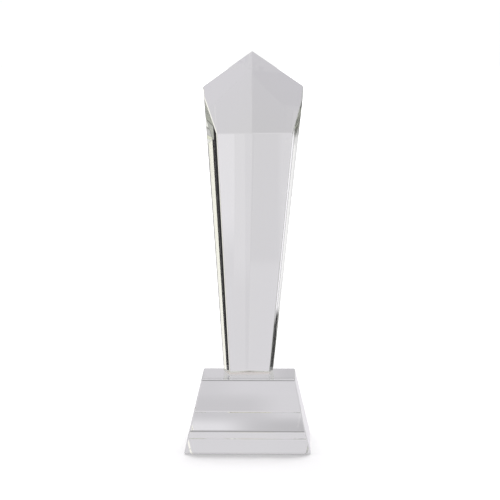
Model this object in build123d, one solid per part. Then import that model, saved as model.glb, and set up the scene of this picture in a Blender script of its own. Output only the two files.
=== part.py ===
from build123d import *
import math
import os

os.makedirs("parts", exist_ok=True)

# ---------------------------------------------------------------------------
# Free-standing crystal award: a crystal base with a sloped front, and a
# tapered crystal blade with a ridged back bonded upright on top of it.
# Frame: millimetres, +Z up, origin under the middle of the base. The fronts
# of both crystals look along -Y.
# ---------------------------------------------------------------------------

# ---- base block -------------------------------------------------------------
base_w = 80.0            # width at the table
base_d = 67.0            # depth at the table
base_h = 42.0            # overall height of the block
base_top_w = 60.0        # width of the top face
base_top_d = 41.0        # depth of the top face
band_h = 14.6            # height of the upright band below the sloped front
base_arris = 0.6         # polished arris on every edge of the base

# ---- adhesive bond ------------------------------------------------------------
bond_t = 0.25            # thickness of the cured bond film
bond_inset = 0.3         # how far the film stays inside the blade's footprint

# ---- blade ----------------------------------------------------------------------
blade_h = 208.2          # height of the apex above the blade's foot
facet_z = 157.4          # height at which the slanted top facet leaves the front
blade_arris = 0.4        # polished arris on every edge of the blade but one
ridge_arris = 0.12       # the long rear ridge is only just broken

foot_front_w = 25.7      # width of the front face at the foot
foot_w = 32.3            # greatest width at the foot
foot_t = 22.5            # thickness from front face to rear ridge at the foot

head_front_w = 48.5      # width of the front face at facet_z
head_w = 59.9            # greatest width at facet_z
head_t = 42.0            # thickness from front face to rear ridge at facet_z

corner_run = 3.515       # front corner planes: depth gained per unit of width
back_rise = 0.563        # rear planes: depth gained per unit of width

blade_x = -0.3           # foot of the blade on the base's top face
blade_y = 21.4
blade_turn = 4.2         # the blade is bonded turned by this many degrees
blade_drift = 1.06       # and its centreline leans this many degrees to +X


def lerp(a, b, t):
    return a + (b - a) * t


def polygon_face(points):
    return Face(Wire.make_polygon(points, close=True))


def solid_between(low, high):
    """Solid bounded by two outlines with matching corners and flat sides."""
    n = len(low)
    faces = [polygon_face(list(reversed(low))), polygon_face(high)]
    for i in range(n):
        j = (i + 1) % n
        faces.append(polygon_face([low[i], low[j], high[j], high[i]]))
    return Solid(Shell(faces))


# ---- base -------------------------------------------------------------------
# Side view of the block: upright back, upright band at the foot of the front,
# sloped face above it. The two ends lean in towards the top face.
y_back = base_d / 2
y_front = -base_d / 2
y_top = y_back - base_top_d
profile = [(y_front, 0.0), (y_back, 0.0), (y_back, base_h),
           (y_top, base_h), (y_front, band_h)]


def half_width(z):
    return lerp(base_w, base_top_w, z / base_h) / 2


base = solid_between([Vector(-half_width(z), y, z) for y, z in profile],
                     [Vector(half_width(z), y, z) for y, z in profile])
base = chamfer(base.edges(), base_arris)
base.label = "crystal_base"


# ---- blade --------------------------------------------------------------------
def outline(z):
    """Seven-sided outline of the uncut blade at height z, counter-clockwise
    from the front left corner: front face, two steep corner planes, two narrow
    flanks and two rear planes meeting in a ridge. Each side keeps its
    direction at every height, so that all of them are flat."""
    t = z / facet_z
    a = lerp(foot_front_w, head_front_w, t) / 2
    w = lerp(foot_w, head_w, t) / 2
    d = lerp(foot_t, head_t, t)
    c = corner_run * (w - a)
    s = d - back_rise * w
    y0 = -d / 2
    dx = z * math.tan(math.radians(blade_drift))
    corners = [(-a, y0), (a, y0), (w, y0 + c), (w, y0 + s), (0, y0 + d),
               (-w, y0 + s), (-w, y0 + c)]
    return [Vector(x + dx, y, z) for x, y in corners]


blade = solid_between(outline(0.0), outline(blade_h + 40.0))

# One slanted cut finishes the top. It leaves the front face at facet_z and
# climbs backwards until it meets the rear ridge at blade_h. Cutting the two
# rear planes gives the gabled outline.
front_y = -head_t / 2
apex_y = lerp(foot_t, head_t, blade_h / facet_z) / 2
rise = blade_h - facet_z
run = apex_y - front_y
top_cut = Plane(origin=(0, front_y, facet_z), x_dir=(1, 0, 0),
                z_dir=(0, -rise, run))
blade = split(blade, bisect_by=top_cut, keep=Keep.BOTTOM)
ridge = blade.edges().sort_by(lambda e: min(v.Y for v in e.vertices()))[-1]
blade = chamfer([e for e in blade.edges() if not e.is_same(ridge)], blade_arris)
ridge = blade.edges().sort_by(lambda e: min(v.Y for v in e.vertices()))[-1]
blade = chamfer([ridge], ridge_arris)

stand = (Location((blade_x, blade_y, base_h + bond_t))
         * Location((0, 0, 0), (0, 0, blade_turn)))
blade = stand * blade
blade.label = "crystal_blade"

# ---- bond film ------------------------------------------------------------------
film_face = offset(polygon_face(outline(0.0)),
                   amount=-(blade_arris + bond_inset), kind=Kind.INTERSECTION)
film = extrude(film_face, amount=bond_t, dir=(0, 0, 1))
film = (Location((blade_x, blade_y, base_h))
        * Location((0, 0, 0), (0, 0, blade_turn)) * film)
film.label = "bond_film"

for node, shape in (("crystal_base", base), ("crystal_blade", blade),
                    ("bond_film", film)):
    export_step(shape, "parts/" + node + ".step")
    box = shape.bounding_box()
    print(node, "volume", round(shape.volume, 1), "valid", shape.is_valid,
          "min", [round(v, 2) for v in box.min],
          "max", [round(v, 2) for v in box.max])
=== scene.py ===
import math

import bmesh
import bpy
from mathutils import Matrix, Vector


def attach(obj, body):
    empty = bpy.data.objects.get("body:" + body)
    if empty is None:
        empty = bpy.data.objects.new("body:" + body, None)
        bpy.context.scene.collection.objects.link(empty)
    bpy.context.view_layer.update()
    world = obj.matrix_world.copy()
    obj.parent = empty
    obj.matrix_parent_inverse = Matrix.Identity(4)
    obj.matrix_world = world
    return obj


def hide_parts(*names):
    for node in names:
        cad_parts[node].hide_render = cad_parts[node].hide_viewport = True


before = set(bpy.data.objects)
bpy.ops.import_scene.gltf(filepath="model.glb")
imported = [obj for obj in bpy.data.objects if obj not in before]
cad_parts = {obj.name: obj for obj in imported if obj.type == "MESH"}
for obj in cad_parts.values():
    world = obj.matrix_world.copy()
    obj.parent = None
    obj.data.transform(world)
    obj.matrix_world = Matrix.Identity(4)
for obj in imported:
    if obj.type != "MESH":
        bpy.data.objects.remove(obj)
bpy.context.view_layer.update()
scene = bpy.context.scene

MM = 0.001

# ---------------------------------------------------------------------------
# Dimensions, in millimetres, as in the CAD
# ---------------------------------------------------------------------------
BASE_W, BASE_D, BASE_H = 80.0, 67.0, 42.0
BASE_TOP_W, BASE_TOP_D, BAND_H = 60.0, 41.0, 14.6
BASE_ARRIS = 0.6
BOND_T, BOND_INSET = 0.25, 0.3
BLADE_H, FACET_Z, BLADE_ARRIS, RIDGE_ARRIS = 208.2, 157.4, 0.4, 0.12
FOOT_FRONT_W, FOOT_W, FOOT_T = 25.7, 32.3, 22.5
HEAD_FRONT_W, HEAD_W, HEAD_T = 48.5, 59.9, 42.0
CORNER_RUN, BACK_RISE = 3.515, 0.563
BLADE_X, BLADE_Y, BLADE_TURN, BLADE_DRIFT = -0.3, 21.4, 4.2, 1.06


def lerp(a, b, t):
    return a + (b - a) * t


# ---------------------------------------------------------------------------
# Shapes
# ---------------------------------------------------------------------------
def outline(z):
    t = z / FACET_Z
    a = lerp(FOOT_FRONT_W, HEAD_FRONT_W, t) / 2
    w = lerp(FOOT_W, HEAD_W, t) / 2
    d = lerp(FOOT_T, HEAD_T, t)
    c = CORNER_RUN * (w - a)
    s = d - BACK_RISE * w
    y0 = -d / 2
    dx = z * math.tan(math.radians(BLADE_DRIFT))
    return [Vector((x + dx, y, z)) for x, y in
            ((-a, y0), (a, y0), (w, y0 + c), (w, y0 + s), (0, y0 + d),
             (-w, y0 + s), (-w, y0 + c))]


def ruled(bm, low, high):
    lo = [bm.verts.new(p) for p in low]
    hi = [bm.verts.new(p) for p in high]
    bm.faces.new(list(reversed(lo)))
    bm.faces.new(hi)
    n = len(lo)
    for i in range(n):
        j = (i + 1) % n
        bm.faces.new([lo[i], lo[j], hi[j], hi[i]])


def polish_edges(bm, arris, fine=None, fine_arris=0.0):
    """Ground arris, then its own two edges softened, as hand polishing does.
    One edge, the rear ridge of the blade, only gets a fine arris."""
    bmesh.ops.bevel(bm, geom=[e for e in bm.edges if e is not fine], offset=arris,
                    offset_type="OFFSET", segments=1, profile=0.5, affect="EDGES")
    if fine is not None:
        ridge = max(bm.edges, key=lambda e: min(v.co.y for v in e.verts))
        bmesh.ops.bevel(bm, geom=[ridge], offset=fine_arris, offset_type="OFFSET",
                        segments=1, profile=0.5, affect="EDGES")
    bm.normal_update()
    sharp = [e for e in bm.edges
             if len(e.link_faces) == 2 and e.calc_face_angle() > math.radians(8)]
    bmesh.ops.bevel(bm, geom=sharp, offset=arris * 0.16, offset_type="OFFSET",
                    segments=1, profile=0.5, affect="EDGES")
    bmesh.ops.remove_doubles(bm, verts=bm.verts[:], dist=1e-4)
    bmesh.ops.recalc_face_normals(bm, faces=bm.faces[:])


def make_object(name, bm, place=None):
    if place is not None:
        bm.transform(place)
    bm.transform(Matrix.Scale(MM, 4))
    mesh = bpy.data.meshes.new(name)
    bm.to_mesh(mesh)
    bm.free()
    obj = bpy.data.objects.new(name, mesh)
    scene.collection.objects.link(obj)
    return obj


STAND = (Matrix.Translation((BLADE_X, BLADE_Y, BASE_H + BOND_T))
         @ Matrix.Rotation(math.radians(BLADE_TURN), 4, "Z"))


def build_blade():
    bm = bmesh.new()
    ruled(bm, outline(0.0), outline(BLADE_H + 40.0))
    front_y = -HEAD_T / 2
    apex_y = lerp(FOOT_T, HEAD_T, BLADE_H / FACET_Z) / 2
    rise, run = BLADE_H - FACET_Z, apex_y - front_y
    cut = bmesh.ops.bisect_plane(
        bm, geom=bm.verts[:] + bm.edges[:] + bm.faces[:], dist=1e-5,
        plane_co=(0, front_y, FACET_Z), plane_no=(0, -rise, run),
        clear_outer=True)
    rim = [e for e in cut["geom_cut"] if isinstance(e, bmesh.types.BMEdge)]
    bmesh.ops.contextual_create(bm, geom=rim)
    bmesh.ops.recalc_face_normals(bm, faces=bm.faces[:])
    ridge = max(bm.edges, key=lambda e: min(v.co.y for v in e.verts))
    polish_edges(bm, BLADE_ARRIS, ridge, RIDGE_ARRIS)
    bonded = bm.faces.layers.float.new("bonded")
    foot = min(bm.faces, key=lambda f: f.calc_center_median().z)
    foot[bonded] = 1.0
    return make_object("blade_crystal_body", bm, STAND)


def film_outline():
    """The blade's foot outline drawn in by the arris and the inset."""
    pts = outline(0.0)
    inset = BLADE_ARRIS + BOND_INSET
    n = len(pts)
    lines = []
    for i in range(n):
        a, b = pts[i], pts[(i + 1) % n]
        d = (b - a).normalized()
        nrm = Vector((-d.y, d.x, 0))
        lines.append((a + nrm * inset, d))
    out = []
    for i in range(n):
        p, d = lines[i - 1]
        q, e = lines[i]
        den = d.x * e.y - d.y * e.x
        t = ((q.x - p.x) * e.y - (q.y - p.y) * e.x) / den
        out.append(p + d * t)
    return out


def build_base():
    y_back, y_front = BASE_D / 2, -BASE_D / 2
    y_top = y_back - BASE_TOP_D
    profile = [(y_front, 0.0), (y_back, 0.0), (y_back, BASE_H),
               (y_top, BASE_H), (y_front, BAND_H)]

    def half(z):
        return lerp(BASE_W, BASE_TOP_W, z / BASE_H) / 2

    bm = bmesh.new()
    ruled(bm, [Vector((-half(z), y, z)) for y, z in profile],
          [Vector((half(z), y, z)) for y, z in profile])
    bmesh.ops.recalc_face_normals(bm, faces=bm.faces[:])
    polish_edges(bm, BASE_ARRIS)
    # the patch of the top face that the film wets
    bonded = bm.faces.layers.float.new("bonded")
    top = max((f for f in bm.faces if f.normal.z > 0.999),
              key=lambda f: f.calc_area())
    ring = [v for v in top.verts]
    z = ring[0].co.z
    spot = STAND @ Vector((0, 0, -BOND_T))
    place = Matrix.Translation(spot) @ Matrix.Rotation(math.radians(BLADE_TURN), 4, "Z")
    inner = [bm.verts.new((place @ p).xy.to_3d() + Vector((0, 0, z)))
             for p in film_outline()]
    bmesh.ops.delete(bm, geom=[top], context="FACES_ONLY")
    loops = []
    for vs in (ring, inner):
        for i in range(len(vs)):
            a, b = vs[i], vs[(i + 1) % len(vs)]
            e = bm.edges.get((a, b)) or bm.edges.new((a, b))
            loops.append(e)
    made = bmesh.ops.triangle_fill(bm, use_beauty=True, use_dissolve=False,
                                   edges=loops, normal=(0, 0, 1))
    inside = [f for f in made["geom"] if isinstance(f, bmesh.types.BMFace)
              and all(v in inner for v in f.verts)]
    if not inside:
        inside = [bm.faces.new(inner)]
    for f in inside:
        f[bonded] = 1.0
    bmesh.ops.recalc_face_normals(bm, faces=bm.faces[:])
    return make_object("base_crystal_body", bm)


def build_film():
    bm = bmesh.new()
    pts = film_outline()
    ruled(bm, [p + Vector((0, 0, -BOND_T + 0.01)) for p in pts],
          [p + Vector((0, 0, -0.01)) for p in pts])
    bmesh.ops.recalc_face_normals(bm, faces=bm.faces[:])
    return make_object("bond_film_layer", bm, STAND)


base = build_base()
blade = build_blade()
film = build_film()

for piece, node, slot in ((base, "crystal_base", "base_crystal"),
                          (blade, "crystal_blade", "blade_crystal"),
                          (film, "bond_film", "bond_adhesive")):
    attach(piece, "root")
    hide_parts(node)

# ---------------------------------------------------------------------------
# Node helper
# ---------------------------------------------------------------------------
class Tree:
    def __init__(self, node_tree):
        self.nt = node_tree
        self.nt.nodes.clear()

    def add(self, kind, **sockets):
        node = self.nt.nodes.new(kind)
        for key, value in sockets.items():
            self.put(node, key.replace("_", " "), value)
        return node

    def put(self, node, key, value):
        socket = node.inputs[key]
        if isinstance(value, bpy.types.NodeSocket):
            self.nt.links.new(value, socket)
        else:
            socket.default_value = value

    def math(self, operation, *values):
        node = self.nt.nodes.new("ShaderNodeMath")
        node.operation = operation
        for i, value in enumerate(values):
            self.put(node, i, value)
        return node.outputs[0]

    def ramp(self, value, lo, hi, out_lo, out_hi, smooth=False):
        node = self.nt.nodes.new("ShaderNodeMapRange")
        node.interpolation_type = "SMOOTHSTEP" if smooth else "LINEAR"
        for i, v in enumerate((value, lo, hi, out_lo, out_hi)):
            self.put(node, i, v)
        return node.outputs[0]

    def mix(self, factor, a, b):
        node = self.nt.nodes.new("ShaderNodeMix")
        node.data_type = "RGBA"
        self.put(node, 0, factor)
        self.put(node, 6, a)
        self.put(node, 7, b)
        return node.outputs[2]


# ---------------------------------------------------------------------------
# Materials
# ---------------------------------------------------------------------------
def crystal_material(name, seed, mass):
    """Polished optical crystal, faintly grey-green in the mass. The polish
    carries soft wiping marks and the faces are very slightly wavy. Faces
    marked as bonded are wetted by adhesive, so light crosses them unbent."""
    mat = bpy.data.materials.new(name)
    mat.use_nodes = True
    t = Tree(mat.node_tree)
    where = t.add("ShaderNodeTexCoord").outputs["Object"]
    bonded = t.nt.nodes.new("ShaderNodeAttribute")
    bonded.attribute_name = "bonded"
    bonded = bonded.outputs["Fac"]
    free = t.math("SUBTRACT", 1.0, bonded)

    wipe = t.add("ShaderNodeTexNoise", Vector=where, Scale=34.0 + seed,
                 Detail=4.0, Roughness=0.55, Distortion=0.6)
    haze = t.ramp(wipe.outputs["Fac"], 0.52, 0.74, 0.0, HAZE, smooth=True)
    rough = t.math("MULTIPLY", haze, free)

    wave = t.add("ShaderNodeTexNoise", Vector=where, Scale=16.0 + seed,
                 Detail=1.0, Roughness=0.4)
    bump = t.add("ShaderNodeBump", Strength=1.0, Distance=WAVE,
                 Height=wave.outputs["Fac"])

    bsdf = t.add("ShaderNodeBsdfPrincipled", Roughness=rough,
                 IOR=t.ramp(bonded, 0.0, 1.0, 1.52, 1.0),
                 Normal=bump.outputs["Normal"])
    bsdf.inputs["Base Color"].default_value = (1.0, 1.0, 1.0, 1.0)
    bsdf.inputs["Transmission Weight"].default_value = 1.0

    # the mass: a trace of colour with slow streaks of the melt in it
    streak = t.add("ShaderNodeTexNoise", Vector=where, Scale=9.0, Detail=2.0)
    absorb = t.add("ShaderNodeVolumeAbsorption",
                   Density=t.ramp(streak.outputs["Fac"], 0.3, 0.7,
                                  mass * 0.92, mass * 1.08))
    absorb.inputs["Color"].default_value = MASS_TINT
    out = t.add("ShaderNodeOutputMaterial", Surface=bsdf.outputs[0])
    t.put(out, "Volume", absorb.outputs[0])
    return mat


def bond_material(name):
    """Cured clear adhesive: straw coloured, mottled, with pinhead bubbles."""
    mat = bpy.data.materials.new(name)
    mat.use_nodes = True
    t = Tree(mat.node_tree)
    where = t.add("ShaderNodeTexCoord").outputs["Object"]
    cloud = t.add("ShaderNodeTexNoise", Vector=where, Scale=160.0, Detail=3.0)
    cells = t.add("ShaderNodeTexVoronoi", Vector=where, Scale=420.0)
    cells.feature = "F1"
    bubble = t.ramp(cells.outputs["Distance"], 0.10, 0.16, 1.0, 0.0)
    pick = t.ramp(cells.outputs["Color"], 0.80, 0.82, 0.0, 1.0)
    bubble = t.math("MULTIPLY", bubble, pick)
    tint = t.mix(t.ramp(cloud.outputs["Fac"], 0.35, 0.65, 0.0, 1.0),
                 BOND_DARK, BOND_LIGHT)
    tint = t.mix(bubble, tint, (0.97, 0.97, 0.95, 1.0))
    bsdf = t.add("ShaderNodeBsdfPrincipled", IOR=1.0, Base_Color=tint,
                 Roughness=t.ramp(bubble, 0.0, 1.0, 0.0, 0.12))
    bsdf.inputs["Transmission Weight"].default_value = 1.0
    t.add("ShaderNodeOutputMaterial", Surface=bsdf.outputs[0])
    return mat


HAZE = 0.012
WAVE = 0.00001
BASE_MASS, BLADE_MASS = 0.35, 1.1
MASS_TINT = (0.66, 0.80, 0.24, 1.0)
BOND_DARK = (0.94, 0.89, 0.81, 1.0)
BOND_LIGHT = (1.0, 0.965, 0.92, 1.0)

base.data.materials.append(crystal_material("crystal_base_glass", 3.0, BASE_MASS))
blade.data.materials.append(crystal_material("crystal_blade_glass", 0.0, BLADE_MASS))
film.data.materials.append(bond_material("bond_adhesive_clear"))


# ---------------------------------------------------------------------------
# Studio. The camera sees plain white. The glass sees a grey room with panels,
# strips and dark flags around the award; the narrow ones place the bands and
# strips that show in the crystal from the front. Angles in degrees: azimuth 0
# is straight behind the award, positive to the right; elevation 0 is level.
# ---------------------------------------------------------------------------
PLAIN = (1.005, 0.985, 1.035)
WARM = (1.02, 0.99, 0.95)
ROOM = 0.45
ALL = 400.0
PANELS = (
    # az0, az1, el0, el1, softness of az and el, level, tint
    # the sweep behind, the ceiling and the table top
    (-75, 75, -95, 95, 50, 1, 0.66, PLAIN),
    (-ALL, ALL, 45, 95, 1, 30, 0.62, PLAIN),
    (-ALL, ALL, -95, -45, 1, 20, 0.60, PLAIN),
    # the darker side of the room, where the camera stands
    (170, 270, -95, -32, 12, 6, 0.12, PLAIN),
    (184, 212, -10, 14, 6, 3, 0.05, PLAIN),
    (172, 188, 22, 28, 4, 2, 0.75, PLAIN),
    (168, 175.5, -16, -9, 1, 3, 0.55, PLAIN),
    (175.5, 180.4, -15, -8, 1, 3, 0.42, PLAIN),
    (180.4, 186, -15, -8, 1, 3, 0.62, PLAIN),
    # low cards at the sides that light the flank arrises
    (125, 168, -30, -19, 4, 2, 1.10, (0.99, 0.96, 1.04)),
    (-85, -66, -18, -2, 4, 3, 1.00, WARM),
    (35, 60, -27.5, -14, 3, 1, 1.10, PLAIN),
    (35, 60, -36, -27.5, 3, 1, 0.62, PLAIN),
    (-65, -45, -60, -36, 4, 4, 0.70, PLAIN),
    # halves of the slanted top facet
    (14, 30, -40, -17, 4, 3, 0.66, PLAIN),
    (-30, -12, -40, -17, 4, 3, 0.585, PLAIN),
    # what the two rear planes of the blade send to its front
    (12, 20.2, -16, 8, 1.0, 3, 0.70, PLAIN),
    (16, 18.2, -3.6, 8, 0.08, 1.5, 0.79, PLAIN),
    (18.2, 20.2, -4.6, 8, 0.08, 1.2, 0.735, PLAIN),
    (-22, -14, -16, 8, 2, 3, 0.70, PLAIN),
    (-22, -18, -3.75, 8, 0.25, 0.35, 0.665, PLAIN),
    # dark flags behind, under bright strips
    (20.5, 25, -15.5, -5, 0.6, 0.8, 0.02, PLAIN),
    (20.5, 25, -11.6, -6.45, 0.6, 0.3, 1.00, PLAIN),
    (20.5, 25, -6.45, 2, 0.6, 0.3, 0.08, PLAIN),
    (-54, -34, -17, 0, 1.5, 1.0, 0.03, PLAIN),
    (-54, -29, -2.4, 6, 1.5, 0.35, 0.99, PLAIN),
    (32.5, 38, -9, 4, 1.0, 1.5, 0.02, PLAIN),
    # high strips left and right
    (28, 60, 12, 26, 3, 3, 0.02, PLAIN),
    (28, 60, 23.75, 36, 3, 0.35, 0.92, PLAIN),
    (28, 39, 23.75, 36, 2, 0.35, 0.72, PLAIN),
    (-100, -55, 19, 45, 8, 3, 1.24, WARM),
    # key panel on the right, its dark frame, and the flag beside the camera
    (88, 120, -20, 30, 10, 10, 1.0, WARM),
    (74, 90, 12, 26, 3, 3, 0.02, PLAIN),
    (74, 90, 22.35, 36, 3, 0.35, 0.95, PLAIN),
    (127, 156, 1, 15, 3, 2, 0.02, PLAIN),
    # what the base sends to the camera
    (-8, 8, -55, -30, 3, 4, 0.67, PLAIN),
    (-8, -2.2, -55, -30, 1.4, 4, 0.63, PLAIN),
    (-8, -0.8, -55, -36.9, 1.6, 0.5, 0.585, PLAIN),
    (-8, 8, 25, 55, 3, 4, 0.595, PLAIN),
    (-0.6, 8, 25, 37.65, 1.2, 0.4, 0.66, PLAIN),
    (-8, -1.8, 37.65, 55, 1.6, 0.4, 0.77, PLAIN),
    (-1.0, 8, 37.65, 55, 2.4, 0.4, 0.51, PLAIN),
    (-8, 8, 27.2, 31, 3, 1, 0.68, PLAIN),
    (-8, 8, 10, 21.5, 3, 2, 0.68, PLAIN),
    (-8, 8, 22.2, 27.2, 3, 1, 0.37, PLAIN),
    (-8, -4, 2, 6, 1.5, 1, 0.58, PLAIN),
    (-3, 3, -3, 1, 1.5, 1, 0.70, PLAIN),
    (-8, 3.5, -17, -13.8, 1.5, 0.4, 0.565, PLAIN),
    (-8, 3.5, -13.8, -10, 1.5, 0.4, 0.69, PLAIN),
    (3.6, 8, -13.5, -9, 1, 1, 0.88, PLAIN),
    (-8, 8, -75, -50, 3, 4, 0.28, PLAIN),
)


def studio_world():
    world = bpy.data.worlds.new("studio")
    scene.world = world
    world.use_nodes = True
    t = Tree(world.node_tree)
    ray = t.add("ShaderNodeLightPath")
    sep = t.add("ShaderNodeSeparateXYZ",
                Vector=t.add("ShaderNodeTexCoord").outputs["Generated"])
    x, y, z = sep.outputs
    az = t.math("MULTIPLY", t.math("ARCTAN2", x, y), 180 / math.pi)
    el = t.math("MULTIPLY", t.math("ARCSINE", z), 180 / math.pi)

    def window(v, lo, hi, soft):
        return t.math("MULTIPLY",
                      t.ramp(v, lo - soft / 2, lo + soft / 2, 0.0, 1.0, True),
                      t.ramp(v, hi - soft / 2, hi + soft / 2, 1.0, 0.0, True))

    light = (ROOM, ROOM, ROOM, 1.0)
    for a0, a1, e0, e1, sa, se, level, tint in PANELS:
        mask = window(el, e0, e1, se)
        if a1 - a0 < 360:
            m = window(az, a0, a1, sa)
            if a1 + sa / 2 > 180:
                m = t.math("MAXIMUM", m, window(az, a0 - 360, a1 - 360, sa))
            if a0 - sa / 2 < -180:
                m = t.math("MAXIMUM", m, window(az, a0 + 360, a1 + 360, sa))
            mask = t.math("MULTIPLY", mask, m)
        light = t.mix(mask, light, tuple(level * c for c in tint) + (1.0,))
    light = t.mix(ray.outputs["Is Camera Ray"], light, (1.02, 1.02, 1.02, 1.0))
    bg = t.add("ShaderNodeBackground", Color=light)
    t.add("ShaderNodeOutputWorld", Surface=bg.outputs[0])


def studio_floor():
    bm = bmesh.new()
    bmesh.ops.create_grid(bm, x_segments=1, y_segments=1, size=6.0)
    bm.transform(Matrix.Translation((0, 0, -0.0003)))
    mesh = bpy.data.meshes.new("studio_floor")
    bm.to_mesh(mesh)
    bm.free()
    floor = bpy.data.objects.new("studio_floor", mesh)
    scene.collection.objects.link(floor)
    mat = bpy.data.materials.new("floor_white")
    mat.use_nodes = True
    t = Tree(mat.node_tree)
    ray = t.add("ShaderNodeLightPath")
    where = t.add("ShaderNodeTexCoord").outputs["Object"]
    grain = t.add("ShaderNodeTexNoise", Vector=where, Scale=900.0, Detail=2.0)
    diff = t.add("ShaderNodeBsdfDiffuse",
                 Color=t.mix(t.ramp(grain.outputs["Fac"], 0.3, 0.7, 0.0, 1.0),
                             (0.86, 0.86, 0.86, 1), (0.90, 0.90, 0.90, 1)))
    far = t.math("SQRT", t.math("ADD", *(t.math("POWER", v, 2.0) for v in
                 t.add("ShaderNodeSeparateXYZ", Vector=where).outputs[:2])))
    # painted light and shade: seen by the camera, the floor glows by itself, weakly within 0.3 m
    # of the award and rising to full strength by 1.5 m, so it is darker around the award than
    # farther out
    painted_floor_glow = t.add("ShaderNodeEmission",
                 Strength=t.ramp(far, 0.3, 1.5, PAINTED_GLOW_NEAR, 1.0, True))
    both = t.add("ShaderNodeAddShader")
    t.put(both, 0, diff.outputs[0])
    t.put(both, 1, painted_floor_glow.outputs[0])
    clear = t.add("ShaderNodeBsdfTransparent")
    pick = t.add("ShaderNodeMixShader")
    t.put(pick, 0, ray.outputs["Is Camera Ray"])
    t.put(pick, 1, clear.outputs[0])
    t.put(pick, 2, both.outputs[0])
    t.add("ShaderNodeOutputMaterial", Surface=pick.outputs[0])
    floor.data.materials.append(mat)


# strength of the floor's painted glow next to the award
PAINTED_GLOW_NEAR = 0.13


def key_light():
    """One wide soft panel behind and above: it only lights the floor, so that
    the award stands on a short soft shadow that falls towards the camera."""
    data = bpy.data.lights.new("soft_panel", "AREA")
    data.shape = "RECTANGLE"
    data.size, data.size_y = 3.0, 1.6
    data.energy = 70.0
    lamp = bpy.data.objects.new("soft_panel", data)
    scene.collection.objects.link(lamp)
    lamp.location = (0.0, 1.7, 2.1)
    lamp.rotation_euler = (Vector((0, 0, 0)) - lamp.location).to_track_quat("-Z", "Y").to_euler()
    lamp.visible_glossy = False
    lamp.visible_transmission = False
    lamp.visible_camera = False


studio_world()
studio_floor()
key_light()
scene.view_settings.view_transform = "Standard"
scene.cycles.max_bounces = 32
scene.cycles.transmission_bounces = 32
scene.cycles.glossy_bounces = 32
scene.cycles.transparent_max_bounces = 32

# ---------------------------------------------------------------------------
# Camera
# ---------------------------------------------------------------------------
CAM_POS = Vector((24.78, -1248.5, 290.8)) * MM
CAM_YAW, CAM_PITCH, CAM_ROLL = -1.086, 7.558, -0.057
CAM_LENS = 142.16


def make_camera():
    y, p, r = (math.radians(v) for v in (CAM_YAW, CAM_PITCH, CAM_ROLL))
    fwd = Vector((math.sin(y) * math.cos(p), math.cos(y) * math.cos(p), -math.sin(p)))
    right = Vector((math.cos(y), -math.sin(y), 0.0))
    up = right.cross(fwd)
    right, up = (right * math.cos(r) + up * math.sin(r),
                 -right * math.sin(r) + up * math.cos(r))
    data = bpy.data.cameras.new("camera")
    data.sensor_width = 36.0
    data.lens = CAM_LENS
    data.clip_start, data.clip_end = 0.05, 60.0
    cam = bpy.data.objects.new("camera", data)
    m = Matrix((right, up, -fwd)).transposed().to_4x4()
    m.translation = CAM_POS
    cam.matrix_world = m
    scene.collection.objects.link(cam)
    scene.camera = cam


make_camera()
